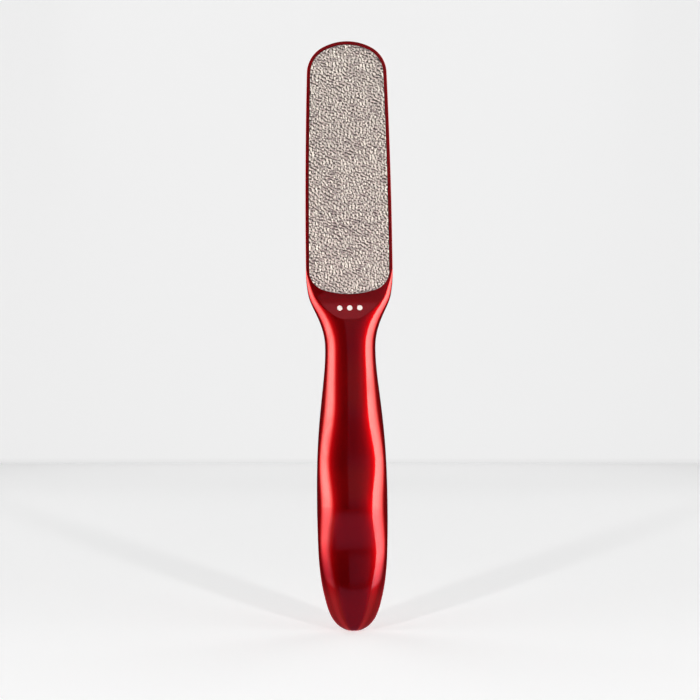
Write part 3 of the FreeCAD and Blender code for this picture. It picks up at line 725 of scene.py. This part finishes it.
def pale(name, glow, grey, lift, shade):
    """Pale studio surface that keeps shadows and shows the same in reflections.

    Far from the object it glows more and takes little light from the lamps. Where floor and wall meet,
    the floor glows brighter, a painted light, and the wall's foot glows dimmer, a painted shade, which
    softens the corner.
    """
    nodes = Nodes(name)
    path = nodes.node("ShaderNodeLightPath").outputs
    seen = nodes.math("MAXIMUM", path["Is Camera Ray"], path["Is Glossy Ray"])
    seen = nodes.math("MAXIMUM", seen, path["Is Transmission Ray"])
    across, back, height = nodes.node("ShaderNodeSeparateXYZ", Vector=nodes.place()).outputs
    side = nodes.ease(nodes.math("ABSOLUTE", across, 0.0), SIDE_FADE, 0.0, 1.0)
    outside = nodes.math("MAXIMUM", side, nodes.ease(back, FRONT_FADE, 1.0, 0.0))
    inner = nodes.span(back, *GLOW_REACH, *glow)
    # painted light: the floor glows brighter close to its corner with the wall
    inner = nodes.math("ADD", inner, nodes.span(back, *LIFT_FADE, 0.0, lift))
    # painted shade: the wall glows dimmer at its foot
    inner = nodes.math("MULTIPLY", inner, nodes.span(height, *FOOT_FADE, shade, 1.0))
    change = nodes.math("MULTIPLY", outside, nodes.math("SUBTRACT", PALE, inner))
    strength = nodes.math("MULTIPLY", seen, nodes.math("ADD", inner, change))
    light = nodes.node("ShaderNodeEmission", Color=WHITE, Strength=strength)
    matt = nodes.node("ShaderNodeBsdfDiffuse", Color=nodes.mix(outside, grey, MATT))
    both = nodes.node("ShaderNodeAddShader", _0=light.outputs[0], _1=matt.outputs[0])
    return nodes.finish(both)


def floor(name, material):
    """Level piece that carries the object."""
    corners = [(*corner, 0) for corner in (LEFT_FRONT, RIGHT_FRONT, RIGHT_BACK, LEFT_BACK)]
    stage_piece(name, corners, QUAD, material)


def wall(name, start, end, material):
    """Upright side of the studio between two corners of the floor."""
    corners = [(*start, 0), (*end, 0), (*end, TALL), (*start, TALL)]
    stage_piece(name, corners, QUAD, material)


wall_paint = pale("wall_paint", WALL_GLOW, WALL_GREY, WALL_LIFT, WALL_SHADE)
floor("floor", pale("floor_paint", FLOOR_GLOW, FLOOR_GREY, FLOOR_LIFT, FLOOR_SHADE))
wall("back_wall", LEFT_BACK, RIGHT_BACK, wall_paint)
wall("front_wall", LEFT_FRONT, RIGHT_FRONT, wall_paint)
wall("left_wall", LEFT_FRONT, LEFT_BACK, wall_paint)
wall("right_wall", RIGHT_FRONT, RIGHT_BACK, wall_paint)


def turned(azimuth, distance, height):
    """Point round the object; azimuth 0 is the camera's side and positive is to its right."""
    a = math.radians(azimuth)
    return (distance * math.sin(a), -distance * math.cos(a), height)


class Glow(Nodes):
    """Painted light of a glowing sheet that is seen in reflections only, set by the place round the object.
    """

    def __init__(self, name, side):
        super().__init__(name)
        x, y, self.height = self.node("ShaderNodeSeparateXYZ", Vector=self.place()).outputs
        self.turn = self.math("ARCTAN2", self.math("MULTIPLY", x, side), self.math("MULTIPLY", y, -1.0))
        flat = self.node("ShaderNodeVectorMath", {"operation": "MULTIPLY"}, _0=self.place(), _1=(1, 1, 0))
        reach = self.node("ShaderNodeVectorMath", {"operation": "LENGTH"}, _0=flat.outputs[0])
        self.distance = reach.outputs["Value"]

    def between(self, rise, fall):
        """Share that rises and falls smoothly with the direction, both given in degrees."""
        up = self.ease(self.turn, map(math.radians, rise), 0.0, 1.0)
        down = self.ease(self.turn, map(math.radians, fall), 1.0, 0.0)
        return self.math("MULTIPLY", up, down)

    def steps(self, source, stops):
        """Piecewise straight curve through pairs of a place and a share."""
        made = self.node("ShaderNodeValToRGB", Fac=source)
        points = made.color_ramp.elements
        while len(points) < len(stops):
            points.new(0.5)
        for point, (place, share) in zip(points, stops):
            point.position, point.color = place, (share, share, share, 1)
        return made.outputs["Color"]

    def emit(self, strength, colour):
        """Finish with a light of a given strength and colour."""
        return self.finish(self.node("ShaderNodeEmission", Color=colour, Strength=strength))


# Colours of the painted light that the glowing sheets show in reflections, and its lowest strength
WARM, BLUSH, CRIMSON = (1.0, 0.94, 0.84, 1), (1.0, 0.66, 0.66, 1), (1.0, 0.45, 0.5, 1)
ROSE, DUSK, EMBER = (1.0, 0.42, 0.8, 1), (1.0, 0.9, 0.84, 1), (1.0, 0.16, 0.22, 1)
DARK = 0.015

# Side panels of painted light: heights over which they grow brighter and then dimmer, and distances for
# tint and the painted light near the tip
PANEL_RISE, PANEL_FALL, PANEL_TOP = (0.0, 0.15), (0.27, 0.36), 0.45
PANEL_TINT, TIP_TINT = (0.2, 0.7), (0.11, 0.16)
TIP_FADE, TIP_LEVEL = (0.11, 0.26), 0.34


def panel_glow(name, side, rise, fall, stops, peak):
    """Painted light at one side, seen in reflections only: redder and dimmer on the floor near the object,
    and dimmer above the head.
    """
    glow = Glow(name, side)
    share = glow.math("MULTIPLY", glow.between(rise, fall), glow.steps(glow.distance, stops))
    floor_share = stops[-1][1]
    share = glow.math("MULTIPLY", share, glow.ease(glow.height, PANEL_RISE, 1.0, 1 / floor_share))
    share = glow.math("MULTIPLY", share, glow.ease(glow.height, PANEL_FALL, 1.0, PANEL_TOP))
    colour = glow.mix(glow.span(glow.distance, *PANEL_TINT, 0.0, 1.0), BLUSH, WARM)
    colour = glow.mix(glow.span(glow.distance, *TIP_TINT, 0.0, 1.0), CRIMSON, colour)
    near = glow.ease(glow.distance, TIP_FADE, TIP_LEVEL, DARK)
    return glow.emit(glow.math("MAXIMUM", glow.math("MULTIPLY", share, peak), near), colour)


# Front screen of painted light: directions of its lit part, and distances or heights with a level or share
FRONT_RISE, FRONT_FALL, FRONT_LEVEL = (-3.5, -2.1), (22.0, 30.0), 0.155
FRONT_REACH, FRONT_SHARE = (0.3, 1.45), 0.5
FRONT_NEAR, FRONT_NEAR_LEVEL = (0.12, 0.3), 0.24
FRONT_HIGH, FRONT_HIGH_LEVEL = (0.45, 0.8), 0.42
FRONT_TINT, FRONT_TINT_SHARE = (0.14, 0.3), 0.5


def front_glow(name):
    """Dim painted light round the camera, seen in reflections only: darker on the left, and lifted close to
    the tip and high up.
    """
    glow = Glow(name, 1.0)
    right = glow.math("MULTIPLY", glow.between(FRONT_RISE, FRONT_FALL), FRONT_LEVEL)
    right = glow.math("MULTIPLY", right, glow.span(glow.distance, *FRONT_REACH, FRONT_SHARE, 1.0))
    near = glow.ease(glow.distance, FRONT_NEAR, FRONT_NEAR_LEVEL, 0.0)
    high = glow.ease(glow.height, FRONT_HIGH, DARK, FRONT_HIGH_LEVEL)
    colour = glow.mix(glow.span(glow.height, *FRONT_TINT, 0.0, FRONT_TINT_SHARE), ROSE, DUSK)
    return glow.emit(glow.math("MAXIMUM", glow.math("MAXIMUM", right, near), high), colour)


# Rear screens of painted light: the lit patch of floor, the light from above, the dim rest, and strengths
# for the tint
FLOOR_PATCH = ((0.0, 0.0), (0.1, 0.0), (0.18, 1.0), (0.4, 1.0), (0.55, 0.0))
FLOOR_PATCH_RISE, FLOOR_PATCH_FALL, FLOOR_PATCH_LEVEL = (146.0, 152.0), (166.0, 172.0), 2.0
REAR_HIGH, REAR_HIGH_LEVEL = (0.36, 0.65), 3.2
REAR_FADE, REAR_NEAR_LEVEL, REAR_LEVEL = (0.08, 0.25), 0.5, 0.11
REAR_TINT = (0.1, 0.6)


def rear_glow(name, side):
    """Dim painted light behind the object, seen in reflections only, with a painted pool of light on the
    floor and painted light from above for the back.
    """
    glow = Glow(name, side)
    patch = glow.steps(glow.distance, FLOOR_PATCH)
    patch = glow.math("MULTIPLY", glow.between(FLOOR_PATCH_RISE, FLOOR_PATCH_FALL), patch)
    high = glow.ease(glow.height, REAR_HIGH, 0.0, REAR_HIGH_LEVEL)
    bright = glow.math("MAXIMUM", glow.math("MULTIPLY", patch, FLOOR_PATCH_LEVEL), high)
    dim = glow.ease(glow.distance, REAR_FADE, REAR_NEAR_LEVEL, REAR_LEVEL)
    colour = glow.mix(glow.span(bright, *REAR_TINT, 0.0, 1.0), EMBER, DUSK)
    return glow.emit(glow.math("MAXIMUM", bright, dim), colour)


# Directions in which a curved sheet has corners, and its gap above the floor in metres
SHEET_TURNS = 17
FLOOR_GAP = 0.0005


def curved_sheet(name, start, end, rows, paint):
    """Sheet seen in reflections only, between two directions and through rows of distance and height."""
    turns = np.linspace(start, end, SHEET_TURNS)
    corners = [turned(turn, *row) for row in rows for turn in turns]
    faces = []
    for i in range((len(rows) - 1) * SHEET_TURNS):
        if (i + 1) % SHEET_TURNS:
            faces.append((i, i + 1, i + 1 + SHEET_TURNS, i + SHEET_TURNS))
    item = stage_piece(name, corners, faces, paint)
    item.visible_camera = item.visible_diffuse = item.visible_shadow = False
    item.visible_transmission = False


def glowing_sheet(name, start, end, distance, tall, paint):
    """Glowing sheet of painted light that lies on the floor and then rises."""
    rows = ((FLOOR_GAP, FLOOR_GAP), (distance, FLOOR_GAP), (distance, tall))
    curved_sheet(name, start, end, rows, paint)


FLAG_DISTANCE, FLAG_TALL = 0.03, 0.05


def flag(name, start, end, stops, tint):
    """Painted shade: a tinted clear sheet close to the handle, seen in reflections only, that dims what its
    lower end reflects of a panel.
    """
    shade = Glow(f"{name}_shade", 1.0)
    clear = shade.steps(shade.math("DIVIDE", shade.height, FLAG_TALL), stops)
    paint = shade.finish(shade.node("ShaderNodeBsdfTransparent", Color=shade.mix(clear, tint, WHITE)))
    rows = ((FLAG_DISTANCE, FLOOR_GAP), (FLAG_DISTANCE, FLAG_TALL))
    curved_sheet(name, start, end, rows, paint)


# Directions in degrees of the edges between the sheets
LEFT_EDGE, RIGHT_EDGE, SIDE_EDGE, REAR_EDGE = -31, 35.5, 95, 172

# Flags of painted shade: how clear they are at shares of their height, and the tint of their darkest part
LEFT_CLEAR = ((0.0, 1.0), (0.16, 1.0), (0.33, 0.27), (0.46, 0.0), (0.58, 0.07), (0.66, 0.32), (0.74, 1.0))
RIGHT_CLEAR = ((0.0, 1.0), (0.16, 1.0), (0.33, 0.0), (0.46, 0.05), (0.58, 0.17), (0.66, 0.77), (0.74, 1.0))
LEFT_TINT, RIGHT_TINT = (0.32, 0.12, 0.2, 1), (0.45, 0.36, 0.45, 1)
flag("left_flag", -SIDE_EDGE, LEFT_EDGE, LEFT_CLEAR, LEFT_TINT)
flag("right_flag", RIGHT_EDGE, SIDE_EDGE, RIGHT_CLEAR, RIGHT_TINT)

# Side panels of painted light: directions of rise and fall, share of the peak by distance along the floor,
# and the peak
LEFT_RISE, LEFT_FALL, LEFT_PEAK = (32.0, 48.0), (56.0, 90.0), 5.6
LEFT_STOPS = (
    (0.0, 0.11), (0.05, 0.095), (0.112, 0.1), (0.157, 0.54), (0.25, 0.66),
    (0.447, 0.7), (0.6, 0.88), (0.75, 0.94), (1.0, 0.8))
RIGHT_RISE, RIGHT_FALL, RIGHT_PEAK = (36.0, 38.0), (44.0, 88.0), 6.2
RIGHT_STOPS = (
    (0.0, 0.1), (0.05, 0.085), (0.112, 0.12), (0.157, 0.9), (0.25, 0.96),
    (0.447, 0.96), (0.6, 1.0), (0.75, 1.0), (1.0, 0.95))
PANEL_DISTANCE, PANEL_TALL = 1.0, 0.95
left_panel = panel_glow("left_glow", -1.0, LEFT_RISE, LEFT_FALL, LEFT_STOPS, LEFT_PEAK)
right_panel = panel_glow("right_glow", 1.0, RIGHT_RISE, RIGHT_FALL, RIGHT_STOPS, RIGHT_PEAK)
glowing_sheet("left_panel", -SIDE_EDGE, LEFT_EDGE, PANEL_DISTANCE, PANEL_TALL, left_panel)
glowing_sheet("right_panel", RIGHT_EDGE, SIDE_EDGE, PANEL_DISTANCE, PANEL_TALL, right_panel)

# Screens of painted light in front and behind
FRONT_DISTANCE, REAR_DISTANCE, SCREEN_TALL = 1.5, 0.9, 1.5
left_rear, right_rear = rear_glow("left_rear_glow", -1.0), rear_glow("right_rear_glow", 1.0)
glowing_sheet("front_screen", LEFT_EDGE, RIGHT_EDGE, FRONT_DISTANCE, SCREEN_TALL, front_glow("front_glow"))
glowing_sheet("left_screen", -REAR_EDGE, -SIDE_EDGE, REAR_DISTANCE, SCREEN_TALL, left_rear)
glowing_sheet("right_screen", SIDE_EDGE, REAR_EDGE, REAR_DISTANCE, SCREEN_TALL, right_rear)


def lamp(name, azimuth, distance, height, width, tall, power):
    """Upright soft light that faces the object and lights its surroundings."""
    light = bpy.data.lights.new(name, "AREA")
    light.shape = "RECTANGLE"
    light.size, light.size_y, light.energy = width, tall, power
    item = bpy.data.objects.new(name, light)
    item.location = turned(azimuth, distance, height)
    item.rotation_euler = (math.pi / 2, 0, math.radians(azimuth))
    item.visible_camera = item.visible_glossy = False
    bpy.context.scene.collection.objects.link(item)


# Pairs of lamps, to the left and the right: direction, distance, height, width, tallness and power
LAMPS = (
    ("lamp", 58, 1.0, 0.45, 0.8, 1.0, 3.5),
    ("back_lamp", 142, 1.2, 0.65, 0.9, 0.6, 4.0),
    ("shade", 22, 1.5, 0.3, 0.06, 0.06, 11.0),
)
for name, azimuth, *settings in LAMPS:
    lamp(f"left_{name}", -azimuth, *settings)
    lamp(f"right_{name}", azimuth, *settings)

WORLD_STRENGTH = 0.05
world = bpy.data.worlds.new("studio")
world.use_nodes = True
backdrop = world.node_tree.nodes["Background"]
backdrop.inputs["Color"].default_value = WHITE
backdrop.inputs["Strength"].default_value = WORLD_STRENGTH
bpy.context.scene.world = world
bpy.context.scene.view_settings.view_transform = "Standard"
